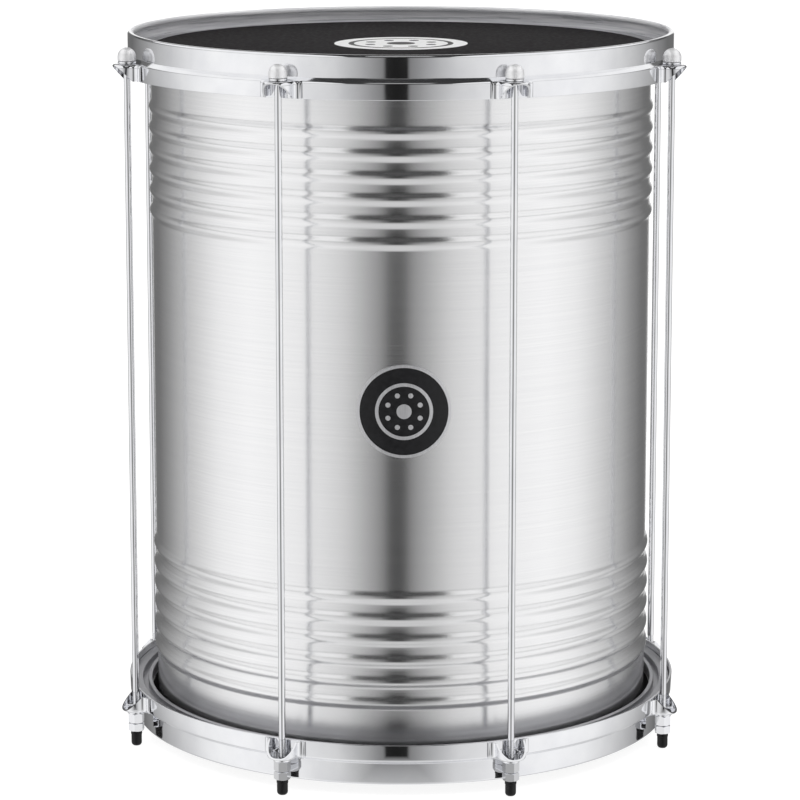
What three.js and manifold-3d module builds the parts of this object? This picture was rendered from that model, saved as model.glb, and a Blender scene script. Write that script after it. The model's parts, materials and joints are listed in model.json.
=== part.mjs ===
// Surdo, a large two-headed bass drum, in millimetres with +Z up.
// The origin is on the drum's axis, on the plane of the rubber feet.
import * as THREE from 'three';
import { mergeVertices } from 'three/addons/utils/BufferGeometryUtils.js';
import Module from 'manifold-3d';

const wasm = await Module();
wasm.setup();

// Clearances
const seat = 0.3;
const rodClearance = 0.35;
const slideClearance = 0.4;
const overrun = 2;

// Shell of rolled sheet, its edges folded inwards to carry the heads
const shellDiameter = 457.2;
const shellLength = 609.6;
const shellWall = 1.8;
const foldWidth = 8;
const foldRadius = 3;

// Ribs rolled outwards near both ends of the shell
const ribsPerEnd = 6;
const ribStart = 46.4;
const ribPitch = 19.06;
const ribWidth = 14.2;
const ribHeight = 2.3;
const ribCrownShares = [0.27, 0.73];

// Heads, each a skin drawn over the shell's edge and down to its flesh hoop
const skinThickness = 0.9;
const skinRecess = 13.5;
const collarWidth = 5.7;
const collarDrop = 9;

// Flesh hoops, which hold the skins and take the push of the outer hoops
const fleshWidth = 12.6;
const fleshBelowFace = 2;
const fleshHeight = 16.5;

// Outer hoops: a wall, a step and a wider skirt pressed from one sheet
const hoopSheet = 2;
const hoopHeight = 37.8;
const lipWidth = 5.5;
const lipDepth = 4.4;
const lipRound = 1.5;
const stepTop = 19.2;
const stepDrop = 5;
const stepOut = 5.7;
const stepRound = 1.3;

// Ears drawn out of the skirts, each a round flat crown over an open pocket
const earBelowStep = 3.1;
const earSheet = 1.6;
const earRadius = 13.6;
const earFootLength = 1;
const earFootMargin = 0.6;
const earRoot = 3;
const earTipMargin = 0.4;
const earEdgeDropShare = 0.78;
const earEdgeSweepShare = 0.9;

// Tension rods with domed heads
const rodCount = 8;
const rodStandoff = 6.2;
const rodDiameter = 6;
const rodHeadDiameter = 16.4;
const rodHeadHeight = 12;
const rodTipChamfer = 0.8;
const washerDiameter = 16.2;
const washerThickness = 1.8;

// Nuts, and the rubber caps that the drum stands on
const nutFlats = 13;
const nutChamfer = 0.9;
const tuningNutHeight = 9;
const lockNutHeight = 7.4;
const capDiameter = 9.6;
const capLength = 14;
const capRound = 3;
const capFloor = 3;

// Round badge on the front of the shell
const badgeDiameter = 82;
const badgeThickness = 1.2;
const badgeAboveMiddle = 10;
const badgeTurn = THREE.MathUtils.degToRad(1.6);

// Facets of the large rings, the small turned pieces and the rounded corners
const ringSides = 40;
const smallSides = 10;
const nutSides = 6;
const badgeSides = 24;
const chamferSteps = 1;
const cornerSteps = 2;
const earSteps = 4;
const domeSteps = 4;

// Radii that follow, from the shell outwards
const turn = 2 * Math.PI;
const quarter = turn / 4;
const eighth = quarter / 2;
const shellRadius = shellDiameter / 2;
const fleshInner = shellRadius + collarWidth;
const wallInner = fleshInner + fleshWidth + slideClearance;
const wallOuter = wallInner + hoopSheet;
const skirtInner = wallInner + stepOut;
const skirtOuter = wallOuter + stepOut;
const rodCircle = skirtOuter + rodStandoff;
const rodRadius = rodDiameter / 2;
const holeRadius = rodRadius + rodClearance;
const earTip = rodCircle + earRadius;

// Levels that follow, from the feet upwards
const stepBottom = stepTop + stepDrop;
const earLevel = stepTop + earBelowStep;
const earHeight = hoopHeight - earLevel - earFootMargin;
const lockNutBottom = capLength + seat;
const tuningNutBottom = lockNutBottom + lockNutHeight + seat;
const lowerWasherBottom = tuningNutBottom + tuningNutHeight + seat;
const lowerCrown = lowerWasherBottom + washerThickness + seat;
const lowerLip = lowerCrown - earLevel;
const lowerFace = lowerLip + skinRecess;
const shellBottom = lowerFace + skinThickness + seat;
const shellMiddle = shellBottom + shellLength / 2;
const upperFace = shellBottom + shellLength + seat + skinThickness;
const upperLip = upperFace + skinRecess;
const upperCrown = upperLip - earLevel;
const upperWasherBottom = upperCrown + seat;
const rodHeadBottom = upperWasherBottom + washerThickness + seat;
const rodBottom = capFloor + seat;

const finishes = {
  aluminium: { color: 0xb9bbbf, roughness: 0.34, metalness: 1 },
  chrome: { color: 0xd4d6da, roughness: 0.12, metalness: 1 },
  fleshHoop: { color: 0x9a9ca0, roughness: 0.4, metalness: 1 },
  skin: { color: 0x1b1b1d, roughness: 0.55, metalness: 0 },
  rubber: { color: 0x121214, roughness: 0.7, metalness: 0 },
  badge: { color: 0x17181b, roughness: 0.3, metalness: 0.2 },
};

const surdo = new THREE.Group();

function addPiece(name, geometry, finish) {
  const piece = new THREE.Mesh(geometry, new THREE.MeshStandardMaterial(finish));
  piece.name = name;
  surdo.add(piece);
  return piece;
}

// Geometry whose triangles share their corners, with no collapsed triangles
function welded(geometry) {
  const bare = geometry.clone();
  bare.deleteAttribute('normal');
  bare.deleteAttribute('uv');
  const merged = mergeVertices(bare);
  const corners = merged.index.array;
  const kept = [];
  for (let i = 0; i < corners.length; i += 3) {
    const [a, b, c] = [corners[i], corners[i + 1], corners[i + 2]];
    if (a !== b && b !== c && c !== a) kept.push(a, b, c);
  }
  merged.setIndex(kept);
  merged.computeVertexNormals();
  return merged;
}

function toSolid(geometry) {
  const merged = welded(geometry);
  return new wasm.Manifold(new wasm.Mesh({
    numProp: 3,
    vertProperties: new Float32Array(merged.attributes.position.array),
    triVerts: new Uint32Array(merged.index.array),
  }));
}

function toGeometry(solid) {
  const mesh = solid.getMesh();
  const geometry = new THREE.BufferGeometry();
  geometry.setAttribute('position', new THREE.BufferAttribute(mesh.vertProperties, 3));
  geometry.setIndex(new THREE.BufferAttribute(mesh.triVerts, 1));
  geometry.computeVertexNormals();
  return geometry;
}

const point = (x, y) => new THREE.Vector2(x, y);

// Points of an arc about a centre, both ends included
function arc(centre, radius, from, to, steps = cornerSteps) {
  const points = [];
  for (let i = 0; i <= steps; i += 1) {
    const angle = from + (to - from) * i / steps;
    points.push(point(centre.x + radius * Math.cos(angle), centre.y + radius * Math.sin(angle)));
  }
  return points;
}

// Turns a profile of radii and heights about +Z. Its points go up the outside,
// and it starts and ends on the axis unless it is a closed ring.
function turned(profile, sides = ringSides) {
  const closed = profile[0].x > 0 ? [...profile, profile[0].clone()] : profile;
  return welded(new THREE.LatheGeometry(closed, sides)).rotateX(quarter);
}

// A flat outline raised along +Z
function raised(outline, height, bottom) {
  const settings = { depth: height, bevelEnabled: false };
  return new THREE.ExtrudeGeometry(outline, settings).translate(0, 0, bottom);
}

function cylinder(radius, height, bottom, sides = smallSides) {
  return new THREE.CylinderGeometry(radius, radius, height, sides)
    .rotateX(quarter)
    .translate(0, 0, bottom + height / 2);
}

// Calls make for each rod with its number and its angle from the drum's front
function forEachRod(make) {
  for (let i = 0; i < rodCount; i += 1) make(i + 1, turn * (i + 1 / 2) / rodCount);
}

function placeAtRod(piece, angle, height) {
  piece.position.set(rodCircle * Math.sin(angle), -rodCircle * Math.cos(angle), height);
  piece.rotation.z = angle;
}

// Shell, drawn about its middle

function shellHalf(side) {
  const edge = shellLength / 2;
  const half = [];
  for (let i = ribsPerEnd - 1; i >= 0; i -= 1) {
    const near = edge - ribStart - i * ribPitch;
    half.push(point(shellRadius, near - ribWidth));
    half.push(point(shellRadius + ribHeight, near - ribWidth * ribCrownShares[1]));
    half.push(point(shellRadius + ribHeight, near - ribWidth * ribCrownShares[0]));
    half.push(point(shellRadius, near));
  }
  half.push(...arc(point(shellRadius - foldRadius, edge - foldRadius), foldRadius, 0, quarter));
  half.push(point(shellRadius - shellWall - foldWidth, edge));
  half.push(point(shellRadius - shellWall - foldWidth, edge - shellWall));
  half.push(point(shellRadius - shellWall, edge - shellWall));
  return half.map((corner) => point(corner.x, side * corner.y));
}

function makeShell() {
  const profile = [...shellHalf(-1).reverse(), ...shellHalf(1)];
  addPiece('shell', turned(profile), finishes.aluminium).position.z = shellMiddle;
}

// Heads and flesh hoops, drawn with the playing face up at height zero

function headGeometry() {
  const rim = fleshInner - seat;
  const foldCentre = point(shellRadius - foldRadius, -skinThickness - seat - foldRadius);
  const inner = foldRadius + seat;
  const outer = inner + skinThickness;
  return turned([
    point(0, -skinThickness),
    ...arc(foldCentre, inner, quarter, eighth, chamferSteps),
    point(rim - skinThickness, -collarDrop),
    point(rim, -collarDrop),
    point(rim, -collarDrop + skinThickness),
    ...arc(foldCentre, outer, eighth, quarter, chamferSteps),
    point(0, 0),
  ]);
}

function fleshHoopGeometry() {
  const top = -fleshBelowFace;
  const bottom = top - fleshHeight;
  const ledge = skinRecess - stepBottom - stepRound - slideClearance;
  const wallSide = wallInner - slideClearance;
  const skirtSide = skirtInner - slideClearance;
  return turned([
    point(fleshInner, bottom),
    point(skirtSide, bottom),
    point(skirtSide, ledge),
    point(wallSide, ledge),
    point(wallSide, top),
    point(fleshInner, top),
  ]);
}

// Outer hoops, drawn with the lip up at height zero

function hoopRing() {
  const lipInner = wallOuter - lipWidth;
  return turned([
    point(skirtInner, -hoopHeight),
    point(skirtOuter, -hoopHeight),
    ...arc(point(skirtOuter - stepRound, -stepBottom), stepRound, 0, quarter, chamferSteps),
    point(wallOuter + stepRound, -stepTop - stepRound),
    point(wallOuter, -stepTop),
    ...arc(point(wallOuter - lipRound, -lipRound), lipRound, 0, quarter, chamferSteps),
    ...arc(point(lipInner + lipRound, -lipRound), lipRound, quarter, turn / 2, chamferSteps),
    point(lipInner, -lipDepth + lipRound),
    point(lipInner + lipRound, -lipDepth),
    point(wallInner, -lipDepth),
    point(wallInner, -stepTop),
    point(wallInner + stepRound, -stepTop - hoopSheet),
    point(skirtInner - stepRound, -stepBottom),
    point(skirtInner, -stepBottom - stepRound),
  ]);
}

// Right half of an ear's plan, from its foot on the skirt to its tip.
// x runs round the hoop and y outwards from the drum's axis.
function earSideCurve(inset) {
  const flare = rodStandoff - earSheet;
  return [
    ...arc(point(earRadius + flare, rodCircle), flare + inset, -quarter, -turn / 2),
    ...arc(point(0, rodCircle), earRadius - inset, 0, quarter, earSteps).slice(1),
  ];
}

function mirroredPlan(right) {
  const left = right.map((corner) => point(-corner.x, corner.y)).reverse();
  return new THREE.Shape([...right, ...left.slice(1)]);
}

function earPlan() {
  const foot = earRadius + rodStandoff - earSheet + earFootLength;
  const footDrop = skirtOuter - Math.sqrt(skirtOuter ** 2 - foot ** 2);
  return mirroredPlan([
    point(foot, skirtOuter - earRoot),
    point(foot, skirtOuter + earSheet - footDrop),
    ...earSideCurve(0),
  ]);
}

function pocketPlan() {
  const flareEnd = earRadius + rodStandoff - earSheet;
  return mirroredPlan([point(flareEnd, skirtOuter - earSheet), ...earSideCurve(earSheet)]);
}

// What lies outside the free edge of an ear, an ellipse seen from the side
function earTrim() {
  const reach = earTip - skirtOuter + earTipMargin;
  const drop = earHeight * earEdgeDropShare;
  const low = -earLevel - earHeight - overrun;
  const edge = arc(point(0, 0), 1, 0, quarter * earEdgeSweepShare, earSteps)
    .map((corner) => point(skirtOuter + reach * corner.x, -earLevel - drop * corner.y));
  const outline = new THREE.Shape([
    ...edge,
    point(skirtOuter + earSheet, low),
    point(earTip + overrun, low),
    point(earTip + overrun, -earLevel),
  ]);
  const width = 2 * (earRadius + overrun);
  return raised(outline, width, -width / 2).rotateX(quarter).rotateZ(quarter);
}

// The crown runs back under the step, and nothing shows inside the skirt
function earSolid() {
  const bottom = -earLevel - earHeight;
  const pocketHeight = earHeight - earSheet + overrun;
  const insideHeight = earHeight + earLevel - stepBottom + overrun;
  const inside = cylinder(skirtOuter - hoopSheet / 2, insideHeight, bottom - overrun, ringSides);
  return toSolid(raised(earPlan(), earHeight, bottom))
    .subtract(toSolid(raised(pocketPlan(), pocketHeight, bottom - overrun)))
    .subtract(toSolid(inside))
    .subtract(toSolid(earTrim()));
}

function hoopGeometry() {
  const ear = earSolid();
  const hole = toSolid(cylinder(holeRadius, earHeight, -earLevel - earHeight + overrun));
  let hoop = toSolid(hoopRing());
  forEachRod((number, angle) => {
    const around = [0, 0, THREE.MathUtils.radToDeg(angle + Math.PI)];
    const middle = [rodCircle * Math.sin(angle), -rodCircle * Math.cos(angle), 0];
    hoop = hoop.add(ear.rotate(around)).subtract(hole.translate(middle));
  });
  return toGeometry(hoop);
}

// Both ends of the drum carry the same pieces, the lower ones upside down
function makeEnds() {
  const ends = [
    { side: 'batter', hoop: 'top_hoop', face: upperFace, lip: upperLip, tilt: 0 },
    { side: 'resonant', hoop: 'bottom_hoop', face: lowerFace, lip: lowerLip, tilt: Math.PI },
  ];
  for (const { side, hoop, face, lip, tilt } of ends) {
    const pieces = [
      [addPiece(`${side}_head`, headGeometry(), finishes.skin), face],
      [addPiece(`${side}_flesh_hoop`, fleshHoopGeometry(), finishes.fleshHoop), face],
      [addPiece(hoop, hoopGeometry(), finishes.chrome), lip],
    ];
    for (const [piece, height] of pieces) {
      piece.rotation.x = tilt;
      piece.position.z = height;
    }
  }
}

// Rods, washers, nuts and caps, drawn upwards from height zero

function rodGeometry() {
  const head = rodHeadBottom - rodBottom;
  const headRadius = rodHeadDiameter / 2;
  const dome = point(0, head + rodHeadHeight - headRadius);
  const roundedHead = arc(dome, headRadius, 0, quarter, domeSteps).slice(0, -1);
  return turned([
    point(0, 0),
    point(rodRadius - rodTipChamfer, 0),
    point(rodRadius, rodTipChamfer),
    point(rodRadius, head),
    point(headRadius, head),
    ...roundedHead,
    point(0, head + rodHeadHeight),
  ], smallSides);
}

function washerGeometry() {
  const edge = washerDiameter / 2;
  return turned([
    point(holeRadius, 0),
    point(edge, 0),
    point(edge, washerThickness),
    point(holeRadius, washerThickness),
  ], smallSides);
}

// A nut's corners lie on the profile's radii, so its hole is widened to clear the rod
function nutGeometry(height) {
  const acrossCorners = 1 / Math.cos(Math.PI / nutSides);
  const corner = nutFlats / 2 * acrossCorners;
  const hole = holeRadius * acrossCorners;
  return turned([
    point(hole, 0),
    point(corner - nutChamfer, 0),
    point(corner, nutChamfer),
    point(corner, height - nutChamfer),
    point(corner - nutChamfer, height),
    point(hole, height),
  ], nutSides);
}

function capGeometry() {
  const radius = capDiameter / 2;
  const inside = rodRadius + seat;
  return turned([
    point(0, 0),
    ...arc(point(radius - capRound, capRound), capRound, -quarter, 0),
    point(radius, capLength),
    point(inside, capLength),
    point(inside, capFloor),
    point(0, capFloor),
  ], smallSides);
}

function makeTensioners() {
  const kinds = [
    ['tension_rod', rodGeometry, finishes.chrome, rodBottom],
    ['head_washer', washerGeometry, finishes.chrome, upperWasherBottom],
    ['lower_washer', washerGeometry, finishes.chrome, lowerWasherBottom],
    ['tuning_nut', () => nutGeometry(tuningNutHeight), finishes.chrome, tuningNutBottom],
    ['lock_nut', () => nutGeometry(lockNutHeight), finishes.chrome, lockNutBottom],
    ['rubber_cap', capGeometry, finishes.rubber, 0],
  ];
  forEachRod((number, angle) => {
    for (const [name, geometry, finish, height] of kinds) {
      placeAtRod(addPiece(`${name}_${number}`, geometry(), finish), angle, height);
    }
  });
}

// Badge, a disc curved to the shell

function makeBadge() {
  const inner = shellRadius + seat;
  const outer = inner + badgeThickness;
  const half = badgeDiameter / 2 + overrun;
  const sleeve = toSolid(turned([
    point(inner, -half),
    point(outer, -half),
    point(outer, half),
    point(inner, half),
  ]));
  const disc = new THREE.CylinderGeometry(badgeDiameter / 2, badgeDiameter / 2, shellRadius, badgeSides)
    .translate(0, -shellRadius, 0)
    .rotateZ(badgeTurn);
  const badge = addPiece('badge', toGeometry(sleeve.intersect(toSolid(disc))), finishes.badge);
  badge.position.z = shellMiddle + badgeAboveMiddle;
}

makeShell();
makeEnds();
makeTensioners();
makeBadge();

export default surdo;
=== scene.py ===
import json
import math

import bmesh
import bpy
from mathutils import Matrix, Vector

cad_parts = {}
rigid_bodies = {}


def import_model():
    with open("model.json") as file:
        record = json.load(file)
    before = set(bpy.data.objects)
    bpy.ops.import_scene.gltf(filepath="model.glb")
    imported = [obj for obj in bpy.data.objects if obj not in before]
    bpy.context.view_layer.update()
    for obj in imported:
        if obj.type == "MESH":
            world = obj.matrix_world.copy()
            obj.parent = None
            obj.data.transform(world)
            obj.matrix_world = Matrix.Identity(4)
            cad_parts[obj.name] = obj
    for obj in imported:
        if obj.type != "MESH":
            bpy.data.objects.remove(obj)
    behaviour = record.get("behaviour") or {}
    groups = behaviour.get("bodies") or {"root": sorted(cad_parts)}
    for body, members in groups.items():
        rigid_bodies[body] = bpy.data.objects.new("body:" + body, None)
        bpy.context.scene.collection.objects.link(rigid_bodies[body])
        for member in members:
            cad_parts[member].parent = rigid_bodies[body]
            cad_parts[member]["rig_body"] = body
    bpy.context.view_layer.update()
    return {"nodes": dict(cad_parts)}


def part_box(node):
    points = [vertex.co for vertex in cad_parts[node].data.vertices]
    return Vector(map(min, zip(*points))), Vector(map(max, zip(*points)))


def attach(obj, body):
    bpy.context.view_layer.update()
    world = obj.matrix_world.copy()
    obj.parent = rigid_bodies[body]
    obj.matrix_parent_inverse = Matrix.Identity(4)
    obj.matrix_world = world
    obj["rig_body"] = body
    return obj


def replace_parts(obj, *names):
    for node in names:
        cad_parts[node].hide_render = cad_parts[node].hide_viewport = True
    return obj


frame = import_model()

mm = 0.001  # every shape is drawn in millimetres and scaled to metres at the end
fullTurn = 2 * math.pi
halfTurn = math.pi
quarterTurn = math.pi / 2

detail = {
    "ringSteps": 256,  # steps round the shell, the hoops and the heads
    "smallSteps": 40,  # steps round the rods, washers and caps
    "roundSteps": 4,  # steps in a rounded corner
    "weld": 0.0005,
    "smoothAngle": 32,  # degrees; a sharper edge stays crisp
}


def boxOf(node):
    low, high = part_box(node)
    return low / mm, high / mm


def middleOf(node):
    low, high = boxOf(node)
    return (low + high) / 2


# Shapes from outlines of (radius, height) or (x, y) points


def rounded(corners, closed=True):
    # each corner is x, y and its rounding radius
    outline = []
    for i, (x, y, radius) in enumerate(corners):
        here = Vector((x, y))
        atEnd = not closed and i in (0, len(corners) - 1)
        if atEnd or radius == 0:
            outline.append(here)
            continue
        before = (Vector(corners[i - 1][:2]) - here).normalized()
        after = (Vector(corners[(i + 1) % len(corners)][:2]) - here).normalized()
        half = before.angle(after) / 2
        centre = here + (before + after).normalized() * radius / math.sin(half)
        start = here + before * radius / math.tan(half) - centre
        side = 1 if before.x * after.y - before.y * after.x < 0 else -1
        for step in range(detail["roundSteps"] + 1):
            swing = side * (halfTurn - 2 * half) * step / detail["roundSteps"]
            outline.append(centre + Matrix.Rotation(swing, 2) @ start)
    return outline


def spun(outline, steps, closed=True):
    shape = bmesh.new()
    corners = [shape.verts.new((point[0], 0, point[1])) for point in outline]
    edges = [shape.edges.new(pair) for pair in zip(corners, corners[1:])]
    if closed:
        edges.append(shape.edges.new((corners[-1], corners[0])))
    bmesh.ops.spin(shape, geom=corners + edges, cent=(0, 0, 0), axis=(0, 0, 1), dvec=(0, 0, 0),
                   angle=fullTurn, steps=steps, use_merge=True)
    bmesh.ops.remove_doubles(shape, verts=shape.verts, dist=detail["weld"])
    bmesh.ops.recalc_face_normals(shape, faces=shape.faces)
    return shape


def added(shape, other):
    # adds the other shape's faces to this one
    mesh = bpy.data.meshes.new("joined")
    other.to_mesh(mesh)
    other.free()
    shape.from_mesh(mesh)
    bpy.data.meshes.remove(mesh)
    return shape


def combined(base, tool, operation):
    # joins, cuts or intersects two closed shapes
    holders = []
    for shape in (base, tool):
        mesh = bpy.data.meshes.new("part")
        shape.to_mesh(mesh)
        shape.free()
        holder = bpy.data.objects.new("part", mesh)
        bpy.context.scene.collection.objects.link(holder)
        holders.append(holder)
    modifier = holders[0].modifiers.new("combine", "BOOLEAN")
    modifier.object = holders[1]
    modifier.operation = operation
    modifier.solver = "EXACT"
    evaluated = holders[0].evaluated_get(bpy.context.evaluated_depsgraph_get())
    result = bmesh.new()
    result.from_mesh(evaluated.to_mesh())
    evaluated.to_mesh_clear()
    for holder in holders:
        mesh = holder.data
        bpy.data.objects.remove(holder)
        bpy.data.meshes.remove(mesh)
    bmesh.ops.remove_doubles(result, verts=result.verts, dist=detail["weld"])
    return result


def placed(shape, where, turnZ=0):
    bmesh.ops.rotate(shape, verts=shape.verts, cent=(0, 0, 0), matrix=Matrix.Rotation(turnZ, 3, "Z"))
    bmesh.ops.translate(shape, verts=shape.verts, vec=where)
    return shape


def upsideDown(shape):
    bmesh.ops.rotate(shape, verts=shape.verts, cent=(0, 0, 0), matrix=Matrix.Rotation(halfTurn, 3, "X"))
    return shape


def makePiece(name, shape, material, node):
    bmesh.ops.scale(shape, verts=shape.verts, vec=(mm, mm, mm))
    mesh = bpy.data.meshes.new(name)
    shape.to_mesh(mesh)
    shape.free()
    mesh.shade_smooth()
    mesh.set_sharp_from_angle(angle=math.radians(detail["smoothAngle"]))
    mesh.materials.append(material)
    piece = bpy.data.objects.new(name, mesh)
    bpy.context.scene.collection.objects.link(piece)
    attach(piece, frame["nodes"][node]["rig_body"])
    return piece


# Materials

finish = {
    "mixFrom": 0.3,  # the levels of a noise between which two values blend
    "mixTo": 0.7,
    "noiseDetail": 4,
    "noiseRoughness": 0.5,
}


def newMaterial(name, settings):
    material = bpy.data.materials.new(name)
    material.use_nodes = True
    shader = material.node_tree.nodes["Principled BSDF"]
    for socket, value in settings.items():
        shader.inputs[socket].default_value = value
    return material, material.node_tree, shader


def objectNoise(tree, scale, stretch=(1, 1, 1), roughness=finish["noiseRoughness"]):
    place = tree.nodes.new("ShaderNodeTexCoord")
    mapping = tree.nodes.new("ShaderNodeMapping")
    mapping.inputs["Scale"].default_value = stretch
    noise = tree.nodes.new("ShaderNodeTexNoise")
    noise.inputs["Scale"].default_value = scale
    noise.inputs["Detail"].default_value = finish["noiseDetail"]
    noise.inputs["Roughness"].default_value = roughness
    tree.links.new(place.outputs["Object"], mapping.inputs["Vector"])
    tree.links.new(mapping.outputs["Vector"], noise.inputs["Vector"])
    return noise.outputs["Fac"]


def blendOf(tree, factor, low, high):
    # colours or grey levels between low and high
    ramp = tree.nodes.new("ShaderNodeValToRGB")
    for stop, value in zip(ramp.color_ramp.elements, (low, high)):
        stop.color = (*value, 1) if isinstance(value, tuple) else (value, value, value, 1)
    ramp.color_ramp.elements[0].position = finish["mixFrom"]
    ramp.color_ramp.elements[1].position = finish["mixTo"]
    tree.links.new(factor, ramp.inputs["Fac"])
    return ramp.outputs["Color"]


def shade(tree, shader, pattern, look):
    # the colour and the roughness both follow the pattern
    for socket, low, high in (("Base Color", "dull", "bright"), ("Roughness", "smoothest", "roughest")):
        tree.links.new(blendOf(tree, pattern, look[low], look[high]), shader.inputs[socket])


def addBump(tree, shader, height, look):
    bump = tree.nodes.new("ShaderNodeBump")
    bump.inputs["Strength"].default_value = look["bump"]
    bump.inputs["Distance"].default_value = look["bumpDepth"]
    tree.links.new(height, bump.inputs["Height"])
    tree.links.new(bump.outputs["Normal"], shader.inputs["Normal"])


def brushedAluminium():
    look = {
        "settings": {"Metallic": 1, "Anisotropic": 0.75, "Anisotropic Rotation": 0.25},
        "dull": (0.84, 0.84, 0.85),
        "bright": (0.90, 0.90, 0.905),
        "smoothest": 0.20,
        "roughest": 0.25,
        "grooveScale": 1,
        "grooveStretch": (4, 4, 1400),
        "grooveRoughness": 0.6,
        "bump": 0.04,
        "bumpDepth": 0.0001,
    }
    material, tree, shader = newMaterial("brushedAluminium", look["settings"])
    grooves = objectNoise(tree, look["grooveScale"], look["grooveStretch"], look["grooveRoughness"])
    shade(tree, shader, grooves, look)
    around = tree.nodes.new("ShaderNodeTangent")
    around.direction_type = "RADIAL"
    around.axis = "Z"
    tree.links.new(around.outputs["Tangent"], shader.inputs["Tangent"])
    addBump(tree, shader, grooves, look)
    return material


def grainedSkin():
    look = {
        "settings": {"Specular IOR Level": 0.03},
        "dull": (0.006, 0.005, 0.006),
        "bright": (0.014, 0.012, 0.013),
        "smoothest": 0.52,
        "roughest": 0.68,
        "cellScale": 620,
        "mottleScale": 240,
        "bump": 0.35,
        "bumpDepth": 0.0004,
    }
    material, tree, shader = newMaterial("grainedSkin", look["settings"])
    shade(tree, shader, objectNoise(tree, look["mottleScale"]), look)
    place = tree.nodes.new("ShaderNodeTexCoord")
    cells = tree.nodes.new("ShaderNodeTexVoronoi")
    cells.inputs["Scale"].default_value = look["cellScale"]
    tree.links.new(place.outputs["Object"], cells.inputs["Vector"])
    addBump(tree, shader, cells.outputs["Distance"], look)
    return material


plainFinishes = {
    "polishedChrome": {
        "settings": {"Metallic": 1},
        "dull": (0.80, 0.805, 0.83),
        "bright": (0.88, 0.885, 0.90),
        "smoothest": 0.035,
        "roughest": 0.075,
        "scale": 35,
        "stretch": (1, 1, 1),
    },
    # painted reflection on a dull plating: the near-white colour with dark streaks stands in for the studio
    # mirrored in the chrome inner wall
    "dullPlatingPaintedReflection": {
        "settings": {"Metallic": 0.2},
        "dull": (0.62, 0.62, 0.65),
        "bright": (0.98, 0.98, 0.99),
        "smoothest": 0.24,
        "roughest": 0.42,
        "scale": 1,
        "stretch": (14, 14, 420),
    },
    # painted reflection: the near-white satin colour makes the rod heads look like chrome mirroring a white
    # light
    "satinFinishPaintedReflection": {
        "settings": {"Metallic": 0.55},
        "dull": (0.92, 0.92, 0.93),
        "bright": (0.97, 0.97, 0.98),
        "smoothest": 0.36,
        "roughest": 0.44,
        "scale": 180,
        "stretch": (1, 1, 1),
    },
    "drawnSteel": {
        "settings": {"Metallic": 0.8},
        "dull": (0.40, 0.40, 0.42),
        "bright": (0.54, 0.54, 0.56),
        "smoothest": 0.3,
        "roughest": 0.42,
        "scale": 1,
        "stretch": (30, 30, 300),
    },
    "blackRubber": {
        "settings": {"Specular IOR Level": 0.25},
        "dull": (0.003, 0.003, 0.003),
        "bright": (0.008, 0.008, 0.009),
        "smoothest": 0.3,
        "roughest": 0.42,
        "scale": 500,
        "stretch": (1, 1, 1),
    },
    "blackEnamel": {
        "settings": {"Specular IOR Level": 0.4},
        "dull": (0.006, 0.006, 0.007),
        "bright": (0.011, 0.011, 0.013),
        "smoothest": 0.28,
        "roughest": 0.4,
        "scale": 260,
        "stretch": (1, 1, 1),
    },
    "satinSilver": {
        "settings": {"Metallic": 0.85},
        "dull": (0.74, 0.74, 0.76),
        "bright": (0.84, 0.84, 0.86),
        "smoothest": 0.3,
        "roughest": 0.4,
        "scale": 1,
        "stretch": (900, 900, 40),
    },
    "whiteInk": {
        "settings": {"Specular IOR Level": 0.3},
        "dull": (0.80, 0.80, 0.80),
        "bright": (0.88, 0.88, 0.88),
        "smoothest": 0.45,
        "roughest": 0.45,
        "scale": 400,
        "stretch": (1, 1, 1),
    },
    "blackInk": {
        "settings": {"Specular IOR Level": 0.3},
        "dull": (0.008, 0.008, 0.008),
        "bright": (0.016, 0.016, 0.016),
        "smoothest": 0.45,
        "roughest": 0.45,
        "scale": 400,
        "stretch": (1, 1, 1),
    },
}


def plainFinish(name):
    look = plainFinishes[name]
    material, tree, shader = newMaterial(name, look["settings"])
    shade(tree, shader, objectNoise(tree, look["scale"], look["stretch"]), look)
    return material


aluminium = brushedAluminium()
skin = grainedSkin()
chrome = plainFinish("polishedChrome")
dullPlateAndPaintedReflection = plainFinish("dullPlatingPaintedReflection")
satinWithPaintedReflection = plainFinish("satinFinishPaintedReflection")
steel = plainFinish("drawnSteel")
rubber = plainFinish("blackRubber")
enamel = plainFinish("blackEnamel")
silver = plainFinish("satinSilver")
whiteInk = plainFinish("whiteInk")
blackInk = plainFinish("blackInk")
print("materials made")


# Shell: a rolled tube with six ribs near each end

shell = {
    "ribs": 6,
    "ribStart": 46.4,
    "ribPitch": 19.06,
    "ribWidth": 14.2,
    "ribHeight": 2.3,
    "ribSteps": 14,
    "wall": 1.8,
    "foldWidth": 8,
    "foldRound": 3,
}
shellLow, shellHigh = boxOf("shell")
shellRadius = shellHigh.x - shell["ribHeight"]
shellMiddle = (shellLow.z + shellHigh.z) / 2


def ribOutline(top):
    # one rib from its lower to its upper foot, swelling smoothly
    points = []
    for step in range(shell["ribSteps"] + 1):
        share = step / shell["ribSteps"]
        swell = (1 - math.cos(fullTurn * share)) / 2
        height = top - shell["ribWidth"] * (1 - share)
        points.append((shellRadius + shell["ribHeight"] * swell, height))
    return points


def halfShellOutline(side):
    edge = (shellHigh.z - shellLow.z) / 2
    inside = shellRadius - shell["wall"]
    outline = []
    for rib in reversed(range(shell["ribs"])):
        outline += ribOutline(edge - shell["ribStart"] - rib * shell["ribPitch"])
    fold = [
        (shellRadius, edge - shell["ribStart"] / 2, 0),
        (shellRadius, edge, shell["foldRound"]),
        (inside - shell["foldWidth"], edge, 0),
        (inside - shell["foldWidth"], edge - shell["wall"], 0),
        (inside, edge - shell["wall"], 0),
    ]
    outline += [tuple(point) for point in rounded(fold, closed=False)]
    return [(radius, side * height) for radius, height in outline]


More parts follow.
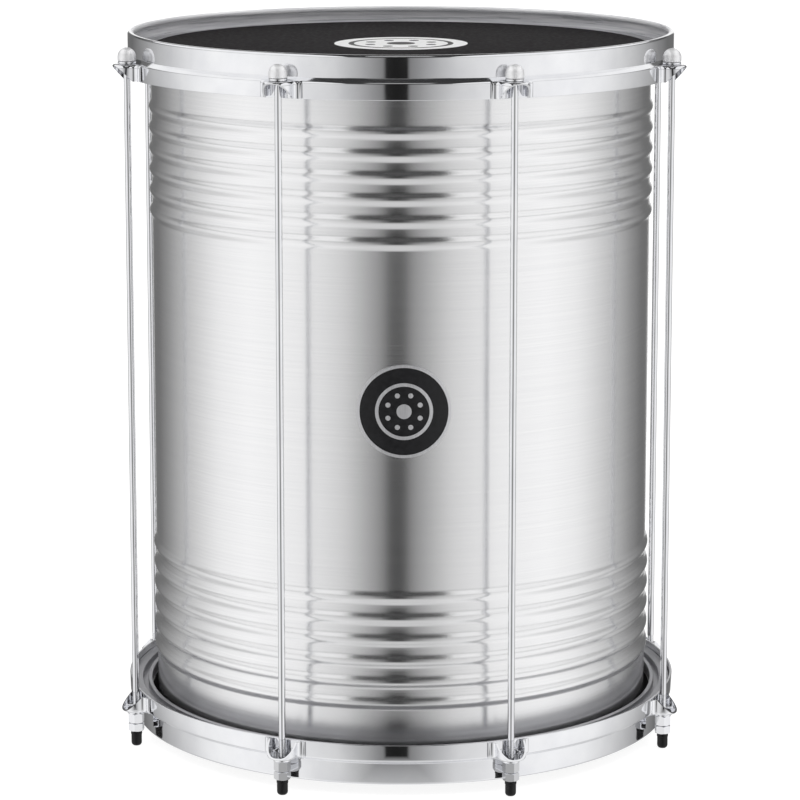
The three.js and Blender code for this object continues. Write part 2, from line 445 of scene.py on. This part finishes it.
def makeShell():
    outline = halfShellOutline(-1)[::-1] + halfShellOutline(1)
    tube = placed(spun(outline, detail["ringSteps"]), (0, 0, shellMiddle))
    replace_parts(makePiece("ribbed_shell", tube, aluminium, "shell"), "shell")


makeShell()
print("shell made")


# Heads and the flesh hoops that pull them down

head = {"thickness": 0.9, "collarDrop": 9, "collarTurn": 1.6, "rimRound": 0.4}
fleshHoop = {
    "belowFace": 2,
    "height": 16.5,
    "insideGap": 0.3,
    "gap": 0.4,
    "round": 0.8,
    "ledge": 12.4,
    "groove": (238, 243),  # the channel that holds the skin's edge
    "grooveDepth": 5,
}


def skinShape(rim):
    turnRadius = shellRadius - shell["foldRound"]
    outline = rounded([
        (0, -head["thickness"], 0),
        (turnRadius, -head["thickness"], head["collarTurn"]),
        (rim - head["thickness"], -head["collarDrop"], 0),
        (rim, -head["collarDrop"], head["rimRound"]),
        (rim, -head["collarDrop"] + head["thickness"], head["rimRound"]),
        (turnRadius + head["thickness"], 0, head["collarTurn"]),
        (0, 0, 0),
    ])
    return spun(outline, detail["ringSteps"])


def fleshHoopShape(inner, outer, wallSide):
    top = -fleshHoop["belowFace"]
    bottom = top - fleshHoop["height"]
    edge = fleshHoop["round"]
    grooveInner, grooveOuter = fleshHoop["groove"]
    return spun(rounded([
        (inner, bottom, edge),
        (grooveInner, bottom, edge),
        (grooveInner, bottom + fleshHoop["grooveDepth"], 0),
        (grooveOuter, bottom + fleshHoop["grooveDepth"], 0),
        (grooveOuter, bottom, edge),
        (outer, bottom, edge),
        (outer, -fleshHoop["ledge"], edge),
        (wallSide, -fleshHoop["ledge"], 0),
        (wallSide, top, edge),
        (inner, top, edge),
    ]), detail["ringSteps"])


def makeHead(side, turned):
    low, high = boxOf(f"{side}_head")
    face = Vector((0, 0, low.z if turned else high.z))
    sheet = skinShape(high.x)
    if turned:
        upsideDown(sheet)
    piece = makePiece(f"{side}_skin", placed(sheet, face), skin, f"{side}_head")
    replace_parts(piece, f"{side}_head")


def makeFleshHoop(side, turned):
    low, high = boxOf(f"{side}_flesh_hoop")
    headLow, headHigh = boxOf(f"{side}_head")
    face = Vector((0, 0, headLow.z if turned else headHigh.z))
    ring = fleshHoopShape(headHigh.x + fleshHoop["insideGap"], high.x, hoopWall - fleshHoop["gap"])
    if turned:
        upsideDown(ring)
    name = f"{side}_flesh_hoop"
    piece = makePiece(f"{side}_counter_ring", placed(ring, face), steel, name)
    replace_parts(piece, name)


# Outer hoops: wall, step and skirt pressed from one sheet, with eight ears

hoop = {
    "sheet": 2,
    "lipWidth": 5.5,
    "lipDepth": 4.4,
    "lipRound": 2.6,
    "lipInnerRound": 2,
    "innerRound": 1,
    "stepOut": 5.7,
    "slopeTop": 19.8,
    "slopeTopRound": 0.8,
    "slopeBottom": 23.2,
    "slopeBottomRound": 2.4,
    "slopeBottomInside": 24.6,
    "slopeTopInside": 21,
    "endRound": 0.6,
}
ear = {
    "count": 8,  # on each hoop, one for each rod
    "below": 22.3,  # the crown, under the hoop's lip
    "sheet": 1.6,
    "radius": 13.6,
    "footLength": 1,
    "root": 5,  # how far a block reaches under the skirt before its back is cut off
    "back": 1.8,  # how deep an ear ends in the skirt
    "endMargin": 0.6,
    "shoulder": 3.8,
    "shoulderSteps": 5,
    "arcSteps": 12,
    "edgeSlope": 1.02,  # how steeply the free edge falls from the tip to the skirt
    "holeRadius": 3.35,
    "past": 2,  # how far a cut runs beyond the metal
}
hoopLow, hoopHigh = boxOf("top_hoop")
hoopHeight = hoopHigh.z - hoopLow.z
skirtRadius = hoopHigh.x
wallRadius = skirtRadius - hoop["stepOut"]
hoopWall = wallRadius - hoop["sheet"]
rodAxis = middleOf("tension_rod_1")
rodCircle = math.hypot(rodAxis.x, rodAxis.y)
rodNumbers = range(1, ear["count"] + 1)


def rodPlace(number):
    # where a rod stands, and how far round from the front
    axis = middleOf(f"tension_rod_{number}")
    return Vector((axis.x, axis.y, 0)), math.atan2(axis.x, -axis.y)


def hoopRing():
    lipInner = wallRadius - hoop["lipWidth"]
    skirtInner = skirtRadius - hoop["sheet"]
    turnIn = hoop["slopeBottomRound"] - hoop["sheet"] / 2
    return spun(rounded([
        (skirtInner, -hoopHeight, hoop["endRound"]),
        (skirtRadius, -hoopHeight, hoop["endRound"]),
        (skirtRadius, -hoop["slopeBottom"], hoop["slopeBottomRound"]),
        (wallRadius, -hoop["slopeTop"], hoop["slopeTopRound"]),
        (wallRadius, 0, hoop["lipRound"]),
        (lipInner, 0, hoop["lipInnerRound"]),
        (lipInner, -hoop["lipDepth"], hoop["innerRound"]),
        (hoopWall, -hoop["lipDepth"], hoop["innerRound"]),
        (hoopWall, -hoop["slopeTopInside"], hoop["slopeTopRound"]),
        (skirtInner, -hoop["slopeBottomInside"], turnIn),
    ]), detail["ringSteps"])


def arcPoints(centre, radius, start, end):
    points = []
    for step in range(ear["arcSteps"] + 1):
        angle = start + (end - start) * step / ear["arcSteps"]
        points.append((centre[0] + radius * math.cos(angle), centre[1] + radius * math.sin(angle)))
    return points


def earCurve(inset):
    # right half of an ear's plan from the skirt to its tip; x runs round the hoop, y outwards
    flare = rodCircle - skirtRadius - ear["sheet"]
    side = arcPoints((ear["radius"] + flare, rodCircle), flare + inset, -quarterTurn, -halfTurn)
    return side + arcPoints((0, rodCircle), ear["radius"] - inset, 0, quarterTurn)[1:]


def blockOf(outline, thickness):
    # a flat outline in x and y, thickened upwards
    block = bmesh.new()
    lower = block.faces.new([block.verts.new((x, y, 0)) for x, y in outline])
    raised = bmesh.ops.extrude_face_region(block, geom=[lower])["geom"]
    upper = [item for item in raised if isinstance(item, bmesh.types.BMVert)]
    bmesh.ops.translate(block, verts=upper, vec=(0, 0, thickness))
    bmesh.ops.recalc_face_normals(block, faces=block.faces)
    return block


def roundedBlock(right, bottom, top, shoulder):
    # from the right half of its plan, with its upper edges rounded except along the back
    block = blockOf(right + [(-x, y) for x, y in reversed(right[:-1])], top - bottom)
    back = right[0][1]
    rim = [edge for edge in block.edges
           if all(corner.co.z > 0 and corner.co.y > back for corner in edge.verts)]
    bmesh.ops.bevel(block, geom=rim, offset=shoulder, offset_type="OFFSET", segments=ear["shoulderSteps"],
                    profile=0.5, affect="EDGES", material=-1)
    return placed(block, (0, 0, bottom))


def earBlock(crown, bottom):
    flareEnd = ear["radius"] + rodCircle - skirtRadius - ear["sheet"]
    foot = flareEnd + ear["footLength"]
    footDrop = skirtRadius - math.sqrt(skirtRadius ** 2 - foot ** 2)
    plan = [(foot, skirtRadius - ear["root"]), (foot, skirtRadius + ear["sheet"] - footDrop)] + earCurve(0)
    block = roundedBlock(plan, bottom, crown, ear["shoulder"])
    everything = block.verts[:] + block.edges[:] + block.faces[:]
    bmesh.ops.bisect_plane(block, geom=everything, dist=detail["weld"], clear_inner=True,
                           plane_co=(0, skirtRadius - ear["back"], 0), plane_no=(0, 1, 0))
    bmesh.ops.holes_fill(block, edges=[edge for edge in block.edges if edge.is_boundary], sides=0)
    bmesh.ops.recalc_face_normals(block, faces=block.faces)
    return block


def pocketBlock(crown, bottom):
    flareEnd = ear["radius"] + rodCircle - skirtRadius - ear["sheet"]
    plan = [(flareEnd, skirtRadius - ear["root"])] + earCurve(ear["sheet"])
    return roundedBlock(plan, bottom - ear["past"], crown - ear["sheet"], ear["shoulder"] - ear["sheet"])


def trimBlock(crown, bottom):
    # what lies outside the slanting free edge, seen from the side
    tip = rodCircle + ear["radius"]
    far, low = tip + ear["past"], bottom - ear["past"]
    outline = [(tip, crown), (tip - (crown - low) / ear["edgeSlope"], low), (far, low), (far, crown)]
    width = 2 * (ear["radius"] + ear["past"])
    block = placed(blockOf(outline, width), (0, 0, -width / 2))
    for axis in ("X", "Z"):
        bmesh.ops.rotate(block, verts=block.verts, cent=(0, 0, 0), matrix=Matrix.Rotation(quarterTurn, 3, axis))
    return block


def atEachRod(makeShape, *levels):
    shapes = bmesh.new()
    for number in rodNumbers:
        where, angle = rodPlace(number)
        shapes = added(shapes, placed(makeShape(*levels), (0, 0, 0), angle + halfTurn))
    return shapes


def holeCylinder():
    hole = bmesh.new()
    bmesh.ops.create_cone(hole, cap_ends=True, segments=detail["smallSteps"],
                          radius1=ear["holeRadius"], radius2=ear["holeRadius"], depth=hoopHeight)
    return placed(hole, (0, rodCircle, -hoopHeight / 2 - hoop["lipDepth"]))


def dullPlatingAndReflectionInside(piece):
    # the plating is thin and dull on the inner side of the wall; its near-white colour and dark streaks are a
    # painted reflection of the studio
    piece.data.materials.append(dullPlateAndPaintedReflection)
    for face in piece.data.polygons:
        x, y, z = face.center / mm
        inwards = face.normal.x * x + face.normal.y * y < 0
        if inwards and math.hypot(x, y) < hoopWall + hoop["endRound"]:
            face.material_index = 1


def makeHoops():
    crown = -ear["below"]
    bottom = -hoopHeight + ear["endMargin"]
    ears = combined(atEachRod(earBlock, crown, bottom), atEachRod(pocketBlock, crown, bottom), "DIFFERENCE")
    ears = combined(ears, atEachRod(trimBlock, crown, bottom), "DIFFERENCE")
    shape = combined(combined(hoopRing(), ears, "UNION"), atEachRod(holeCylinder), "DIFFERENCE")
    lowerShape = upsideDown(shape.copy())
    bottomLip = boxOf("bottom_hoop")[0].z
    for name, part, lip in (("top", shape, hoopHigh.z), ("bottom", lowerShape, bottomLip)):
        piece = makePiece(f"{name}_pressed_hoop", placed(part, (0, 0, lip)), chrome, f"{name}_hoop")
        # the inner wall gets the dull plating with its painted reflection
        dullPlatingAndReflectionInside(piece)
        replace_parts(piece, f"{name}_hoop")


for side, turned in (("batter", False), ("resonant", True)):
    makeHead(side, turned)
    makeFleshHoop(side, turned)
print("heads and flesh hoops made")
makeHoops()
print("hoops made")


# Tension rods: a domed head, a plain shank and a cut thread

rod = {
    "headHeight": 12,
    "headRadius": 8.2,
    "shankRadius": 3,
    "threadPitch": 1,
    "threadTop": 51,
    "threadDepth": 0.45,
    "threadClearance": 0.03,
    "crestShare": 0.125,  # of a pitch, and so are the next two
    "rootFromShare": 0.5,
    "rootToShare": 0.625,
    "threadSteps": 20,
    "edge": 0.5,
    "domeSteps": 10,
}
washer = {"radius": 8.1, "hole": 3.35, "edge": 0.35}


def shankShape(low, high):
    head = high - rod["headHeight"] + rod["edge"]
    return spun([
        (0, rod["threadTop"] - low), (rod["shankRadius"], rod["threadTop"] - low),
        (rod["shankRadius"], head - low), (0, head - low),
    ], detail["smallSteps"])


def domeShape():
    # drawn up from the head's flat underside
    radius = rod["headRadius"]
    outline = [(0, 0), (radius - rod["edge"], 0), (radius, rod["edge"])]
    for step in range(rod["domeSteps"] + 1):
        angle = quarterTurn * step / rod["domeSteps"]
        outline.append((radius * math.cos(angle), rod["headHeight"] - radius + radius * math.sin(angle)))
    return spun(outline, detail["smallSteps"])


def threadShape(length):
    # one turn's profile screwed up the rod
    crest, root = rod["shankRadius"] - rod["threadClearance"], rod["shankRadius"] - rod["threadDepth"]
    pitch = rod["threadPitch"]
    turns = int(length / pitch)
    thread = bmesh.new()
    profile = [
        (crest, 0), (crest, pitch * rod["crestShare"]), (root, pitch * rod["rootFromShare"]),
        (root, pitch * rod["rootToShare"]), (crest, pitch),
    ]
    corners = [thread.verts.new((radius, 0, height)) for radius, height in profile]
    edges = [thread.edges.new(pair) for pair in zip(corners, corners[1:])]
    bmesh.ops.spin(thread, geom=corners + edges, cent=(0, 0, 0), axis=(0, 0, 1),
                   dvec=(0, 0, pitch / rod["threadSteps"]), angle=fullTurn * turns,
                   steps=rod["threadSteps"] * turns, use_merge=False)
    bmesh.ops.remove_doubles(thread, verts=thread.verts, dist=detail["weld"])
    bmesh.ops.holes_fill(thread, edges=[edge for edge in thread.edges if edge.is_boundary], sides=0)
    bmesh.ops.recalc_face_normals(thread, faces=thread.faces)
    return thread


def washerShape(height):
    return spun(rounded([
        (washer["hole"], 0, 0),
        (washer["radius"], 0, washer["edge"]),
        (washer["radius"], height, washer["edge"]),
        (washer["hole"], height, 0),
    ]), detail["smallSteps"])


# Nuts with chamfered corners, and the rubber caps that the drum stands on

nut = {
    "sides": 6,
    "acrossFlats": 13,
    "hole": 3.1,
    "chamferRadius": 6.3,
    "chamferRise": 0.75,
    "past": 0.1,
    "boreLengthShare": 3,  # of the nut's height; the bore starts from the middle of its length
}
cap = {
    "radius": 4.8,
    "bore": 3.2,
    "round": 3,
    "lip": 0.5,
    "floor": 3,
    "collar": 0.35,
    "collarHeight": 3,
    "collarRound": 0.3,
}


def nutShape(height):
    corner = nut["acrossFlats"] / 2 / math.cos(halfTurn / nut["sides"])
    beyond = corner + nut["past"]
    prism = bmesh.new()
    bmesh.ops.create_cone(prism, cap_ends=True, segments=nut["sides"], radius1=corner, radius2=corner,
                          depth=height)
    bmesh.ops.translate(prism, verts=prism.verts, vec=(0, 0, height / 2))
    rise = nut["chamferRise"]
    blank = spun([
        (0, 0), (nut["chamferRadius"], 0), (beyond, rise), (beyond, height - rise),
        (nut["chamferRadius"], height), (0, height),
    ], detail["smallSteps"])
    bore = bmesh.new()
    bmesh.ops.create_cone(bore, cap_ends=True, segments=detail["smallSteps"], radius1=nut["hole"],
                          radius2=nut["hole"], depth=height * nut["boreLengthShare"])
    return combined(combined(prism, blank, "INTERSECT"), bore, "DIFFERENCE")


def capShape(length):
    return spun(rounded([
        (0, 0, 0),
        (cap["radius"], 0, cap["round"]),
        (cap["radius"], length - cap["collarHeight"], cap["collarRound"]),
        (cap["radius"] + cap["collar"], length - cap["collarHeight"], cap["collarRound"]),
        (cap["radius"] + cap["collar"], length, cap["lip"]),
        (cap["bore"], length, cap["lip"]),
        (cap["bore"], cap["floor"], 0),
        (0, cap["floor"], 0),
    ]), detail["smallSteps"])


def makeTensioner(number):
    where, angle = rodPlace(number)
    low, high = boxOf(f"tension_rod_{number}")
    headLow, headHigh = boxOf(f"head_washer_{number}")
    thread = threadShape(rod["threadTop"] - low.z + rod["threadPitch"])
    dome = placed(domeShape(), (0, 0, high.z - rod["headHeight"] - low.z))
    pieces = [
        ("tension_rod", "threaded_rod", added(shankShape(low.z, high.z), thread), chrome, "chrome"),
        # the rod heads' near-white satin colour is a painted reflection
        ("tension_rod", "rod_head", dome, satinWithPaintedReflection, "chrome"),
        ("head_washer", "upper_washer", washerShape(headHigh.z - headLow.z), chrome, "chrome"),
        ("lower_washer", "nut_washer", washerShape(headHigh.z - headLow.z), chrome, "chrome"),
    ]
    for node in ("tuning_nut", "lock_nut"):
        nutLow, nutHigh = boxOf(f"{node}_{number}")
        pieces.append((node, f"hex_{node}", nutShape(nutHigh.z - nutLow.z), chrome, "chrome"))
    capLow, capHigh = boxOf(f"rubber_cap_{number}")
    pieces.append(("rubber_cap", "end_cap", capShape(capHigh.z - capLow.z), rubber, "black_rubber"))
    for node, name, part, material, slot in pieces:
        nodeName = f"{node}_{number}"
        bottom = boxOf(nodeName)[0].z
        placed(part, where + Vector((0, 0, bottom)), angle)
        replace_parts(makePiece(f"{name}_{number}", part, material, nodeName), nodeName)


for number in rodNumbers:
    makeTensioner(number)
print("rods, nuts and caps made")


# Badge on the shell and print on the batter head: a ring with eight dots, as the rods stand round the drum

emblem = {
    "dots": 8,
    "radialSteps": 16,
    "roundSteps": 96,
    "badgeRim": 2.6,
    "badgeGap": 0.3,
    "badgeThickness": 1.2,
    "badgeTurn": 1.6,  # degrees to the right of the front
    "badgeRing": (22, 25),
    "badgeDotCircle": 15,
    "badgeDot": 2.2,
    "badgeHub": 6.5,
    "printRadius": 61,
    "printRing": (43, 48),
    "printDotCircle": 30,
    "printDot": 4.6,
    "printHub": 13,
    "inkThickness": 0.08,
    "reliefHeight": 0.25,
    "motifRoot": 0.375,  # from the motif's face down into the plate
}


def flatRing(inner, outer, low, high):
    # rings of faces close enough together to bend smoothly round the shell
    steps = emblem["radialSteps"]
    top = [(inner + (outer - inner) * step / steps, high) for step in range(steps + 1)]
    under = [(radius, low) for radius, height in reversed(top)]
    return spun(top + under, emblem["roundSteps"])


def dotAt(radius, circle, angle, low, high):
    dot = flatRing(0, radius, low, high)
    return placed(dot, (circle * math.sin(angle), circle * math.cos(angle), 0))


def ringOfDots(ring, circle, dot, hub, low, high):
    shape = flatRing(*ring, low, high)
    shape = added(shape, flatRing(0, hub, low, high))
    for step in range(emblem["dots"]):
        angle = fullTurn * (step + 0.5) / emblem["dots"]
        shape = added(shape, dotAt(dot, circle, angle, low, high))
    return shape


def bentRoundShell(shape, radius, centreHeight):
    for vertex in shape.verts:
        angle = vertex.co.x / radius + math.radians(emblem["badgeTurn"])
        reach = radius + vertex.co.z
        vertex.co = Vector((reach * math.sin(angle), -reach * math.cos(angle), centreHeight + vertex.co.y))
    bmesh.ops.recalc_face_normals(shape, faces=shape.faces)
    return shape


def makeBadge():
    low, high = boxOf("badge")
    centre = (low.z + high.z) / 2
    radius = (high.z - low.z) / 2
    inner = shellRadius + emblem["badgeGap"]
    thickness = emblem["badgeThickness"]
    plate = flatRing(0, radius - emblem["badgeRim"] / 2, 0, thickness - emblem["reliefHeight"])
    rim = flatRing(radius - emblem["badgeRim"], radius, 0, thickness)
    base = thickness - emblem["motifRoot"]
    motif = ringOfDots(emblem["badgeRing"], emblem["badgeDotCircle"], emblem["badgeDot"],
                       emblem["badgeHub"], base, thickness)
    parts = [("badge_plate", plate, enamel), ("badge_rim", rim, silver), ("badge_motif", motif, silver)]
    for name, part, material in parts:
        piece = makePiece(name, bentRoundShell(part, inner, centre), material, "badge")
        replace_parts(piece, "badge")


def makeHeadPrint():
    face = boxOf("batter_head")[1].z
    ink = emblem["inkThickness"]
    disc = placed(flatRing(0, emblem["printRadius"], -ink, ink / 2), (0, 0, face))
    motif = ringOfDots(emblem["printRing"], emblem["printDotCircle"], emblem["printDot"],
                       emblem["printHub"], -ink, ink)
    makePiece("print_disc", disc, whiteInk, "batter_head")
    makePiece("print_motif", placed(motif, (0, 0, face)), blackInk, "batter_head")


makeBadge()
makeHeadPrint()
print("badge and print made")


# Floor, surrounding light and camera

studio = {
    "floorSize": 60,
    "floorGrey": 0.9,
    "floorGlow": 0.9,
    "floorGlowShare": 0.66,
    "turn": -0.82,  # degrees that the surroundings are turned; below zero is to the left
    "sideLight": (
        # degrees away from the camera's side, and how bright the studio is there
        (0, 0.015), (4.4, 0.02), (5.2, 0.24), (9, 0.32), (16, 0.5), (25, 0.72), (45, 0.94), (72, 1.05),
        (90, 0.95), (112, 0.62), (134, 0.3), (150, 0.16), (166, 0.16), (170, 1.0), (180, 1.0),
    ),
    "overheadFrom": 0.42,  # above this height two banks of light hang left and right of a dark gap
    "overheadGap": 0.34,
    "overheadDark": 0.05,
    "overheadBright": 1.0,
    "frontBox": (0.88, 0.96, 0.16),  # a small light in front, from and to what height, and its half width
    # a darker strip all round, from and to what height, and its share of the light
    "lowBand": (0.22, 0.33, 0.5),
    # metal mirrors the lit floor, from and to what height, and how bright
    "floorMirror": (-0.32, -0.55, 0.68),
    "sunEnergy": 1.3,
    "sunAngle": 60,
    "sunTilt": 12,
}
camera = {
    "sensor": 36,
    "reach": 100,
    "lens": 149.76,
    "distance": 3038.9,
    "height": 925.3,
    "pitch": 0.17768,
    "azimuth": 0.01633,
    "shift": (-0.0012, -0.1),
}


def mathNode(tree, operation, first, second=None):
    node = tree.nodes.new("ShaderNodeMath")
    node.operation = operation
    for socket, value in zip(node.inputs, (first, second)):
        if isinstance(value, bpy.types.NodeSocket):
            tree.links.new(value, socket)
        elif value is not None:
            socket.default_value = value
    return node.outputs[0]


def between(tree, value, low, high):
    above = mathNode(tree, "GREATER_THAN", value, low)
    return mathNode(tree, "MULTIPLY", above, mathNode(tree, "LESS_THAN", value, high))


def makeWorld():
    world = bpy.data.worlds.new("studioLight")
    bpy.context.scene.world = world
    world.use_nodes = True
    tree = world.node_tree
    place = tree.nodes.new("ShaderNodeTexCoord")
    axes = tree.nodes.new("ShaderNodeSeparateXYZ")
    tree.links.new(place.outputs["Generated"], axes.inputs[0])
    x, y, z = axes.outputs
    sideways = mathNode(tree, "ABSOLUTE", x)
    direction = mathNode(tree, "ARCTAN2", x, mathNode(tree, "MULTIPLY", y, -1))
    fromFront = mathNode(tree, "ABSOLUTE", mathNode(tree, "SUBTRACT", direction, math.radians(studio["turn"])))
    ramp = tree.nodes.new("ShaderNodeValToRGB")
    stops = ramp.color_ramp.elements
    while len(stops) < len(studio["sideLight"]):
        stops.new(0.5)
    for stop, (degrees, level) in zip(stops, studio["sideLight"]):
        stop.position = degrees / 180
        stop.color = (level, level, level, 1)
    tree.links.new(mathNode(tree, "DIVIDE", fromFront, halfTurn), ramp.inputs["Fac"])
    bandLow, bandHigh, bandShare = studio["lowBand"]
    band = between(tree, z, bandLow, bandHigh)
    keep = mathNode(tree, "SUBTRACT", 1, mathNode(tree, "MULTIPLY", band, 1 - bandShare))
    around = mathNode(tree, "MULTIPLY", ramp.outputs["Color"], keep)
    # two banks of light overhead with a dark gap between them, and a small light in the front of the gap
    gap = mathNode(tree, "LESS_THAN", sideways, studio["overheadGap"])
    banks = mathNode(tree, "SUBTRACT", studio["overheadBright"],
                     mathNode(tree, "MULTIPLY", gap, studio["overheadBright"] - studio["overheadDark"]))
    overhead = mathNode(tree, "GREATER_THAN", z, studio["overheadFrom"])
    level = mathNode(tree, "ADD", mathNode(tree, "MULTIPLY", overhead, banks),
                     mathNode(tree, "MULTIPLY", mathNode(tree, "SUBTRACT", 1, overhead), around))
    lowEdge, highEdge, halfWidth = studio["frontBox"]
    box = between(tree, z, lowEdge, highEdge)
    box = mathNode(tree, "MULTIPLY", box, mathNode(tree, "LESS_THAN", sideways, halfWidth))
    box = mathNode(tree, "MULTIPLY", box, mathNode(tree, "LESS_THAN", y, 0))
    level = mathNode(tree, "MAXIMUM", level, box)
    below = tree.nodes.new("ShaderNodeMapRange")
    for name, value in zip(("From Min", "From Max", "To Max"), studio["floorMirror"]):
        below.inputs[name].default_value = value
    tree.links.new(z, below.inputs["Value"])
    level = mathNode(tree, "MAXIMUM", level, below.outputs["Result"])
    rays = tree.nodes.new("ShaderNodeLightPath")
    strength = mathNode(tree, "MAXIMUM", level, rays.outputs["Is Camera Ray"])
    background = tree.nodes["Background"]
    background.inputs["Color"].default_value = (1, 1, 1, 1)
    tree.links.new(strength, background.inputs["Strength"])


def makeFloor():
    shape = bmesh.new()
    bmesh.ops.create_grid(shape, x_segments=1, y_segments=1, size=studio["floorSize"] / 2)
    mesh = bpy.data.meshes.new("studioFloor")
    shape.to_mesh(mesh)
    shape.free()
    floor = bpy.data.objects.new("studioFloor", mesh)
    bpy.context.scene.collection.objects.link(floor)
    material = bpy.data.materials.new("whitePaper")
    material.use_nodes = True
    tree = material.node_tree
    tree.nodes.clear()
    paper = tree.nodes.new("ShaderNodeBsdfDiffuse")
    paper.inputs["Color"].default_value = (studio["floorGrey"], studio["floorGrey"], studio["floorGrey"], 1)
    glow = tree.nodes.new("ShaderNodeEmission")
    glow.inputs["Strength"].default_value = studio["floorGlow"] / studio["floorGlowShare"]
    clear = tree.nodes.new("ShaderNodeBsdfTransparent")
    rays = tree.nodes.new("ShaderNodeLightPath")
    geometry = tree.nodes.new("ShaderNodeNewGeometry")
    lit = tree.nodes.new("ShaderNodeMixShader")
    seen = tree.nodes.new("ShaderNodeMixShader")
    output = tree.nodes.new("ShaderNodeOutputMaterial")
    share = mathNode(tree, "MULTIPLY", rays.outputs["Is Camera Ray"], studio["floorGlowShare"])
    tree.links.new(share, lit.inputs[0])
    tree.links.new(paper.outputs[0], lit.inputs[1])
    tree.links.new(glow.outputs[0], lit.inputs[2])
    # metal and glass look through the floor to the studio, and so does a camera below it
    through = mathNode(tree, "MAXIMUM", rays.outputs["Is Glossy Ray"], rays.outputs["Is Transmission Ray"])
    through = mathNode(tree, "MAXIMUM", through, geometry.outputs["Backfacing"])
    tree.links.new(through, seen.inputs[0])
    tree.links.new(lit.outputs[0], seen.inputs[1])
    tree.links.new(clear.outputs[0], seen.inputs[2])
    tree.links.new(seen.outputs[0], output.inputs["Surface"])
    mesh.materials.append(material)


def makeSun():
    # lights the skins, the rubber and the floor; metal mirrors the studio instead
    data = bpy.data.lights.new("softSun", "SUN")
    data.energy = studio["sunEnergy"]
    data.angle = math.radians(studio["sunAngle"])
    holder = bpy.data.objects.new("softSun", data)
    holder.rotation_euler = (math.radians(studio["sunTilt"]), 0, 0)
    holder.visible_glossy = False
    bpy.context.scene.collection.objects.link(holder)


def makeCamera():
    data = bpy.data.cameras.new("photoCamera")
    data.sensor_width = camera["sensor"]
    data.lens = camera["lens"]
    data.shift_x, data.shift_y = camera["shift"]
    data.clip_end = camera["reach"]
    holder = bpy.data.objects.new("photoCamera", data)
    away = camera["distance"] * mm
    turn = camera["azimuth"]
    holder.location = (away * math.sin(turn), -away * math.cos(turn), camera["height"] * mm)
    holder.rotation_euler = (quarterTurn - camera["pitch"], 0, turn)
    bpy.context.scene.collection.objects.link(holder)
    bpy.context.scene.camera = holder


makeWorld()
makeFloor()
makeSun()
makeCamera()
bpy.context.scene.view_settings.view_transform = "Standard"
print("studio made")
